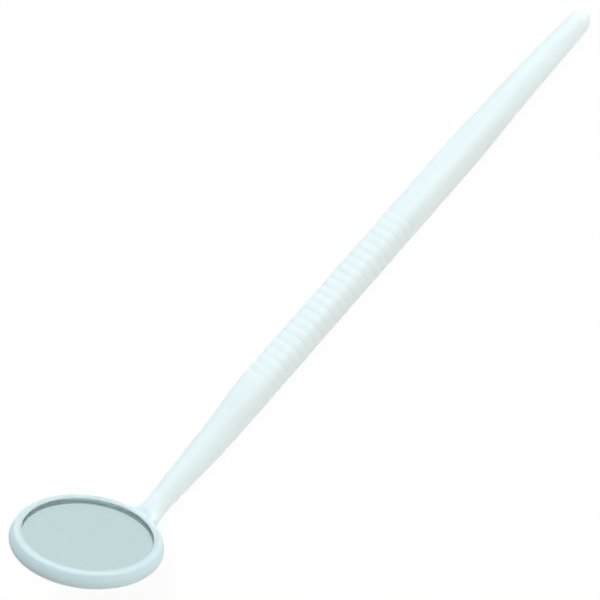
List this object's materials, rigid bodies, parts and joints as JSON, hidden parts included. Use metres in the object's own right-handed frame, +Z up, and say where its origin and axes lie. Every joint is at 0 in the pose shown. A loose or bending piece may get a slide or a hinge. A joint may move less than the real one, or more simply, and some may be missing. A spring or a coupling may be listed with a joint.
{
  "type": "mouth mirror",
  "caption": "One-use dental mouth mirror: moulded white plastic handle with a ribbed square grip, carrying a round glass mirror in an angled cup",
  "frame": {"origin": "middle of the bottom of the object's box, on the surface that the handle's straight underside lies on", "axes": "+X along the handle from the head to the tail, +Z up, with the mirror facing up and towards the tail; the plane y = 0 halves the object"},
  "size_m": [0.1588, 0.0282, 0.0208],
  "materials": {
    "white_plastic": "moulded polystyrene, satin, faintly cool white",
    "clear_glass": "polished float glass with a ground edge",
    "mirror_film": "vacuum-deposited bright metal",
    "grey_paint": "matt protective lacquer",
    "amber_adhesive": "set contact adhesive"
  },
  "bodies": {
    "root": {"handle": "white_plastic", "mirror_glass": "clear_glass", "reflective_film": "mirror_film", "backing_paint": "grey_paint", "adhesive": "amber_adhesive"}
  },
  "joints": []
}
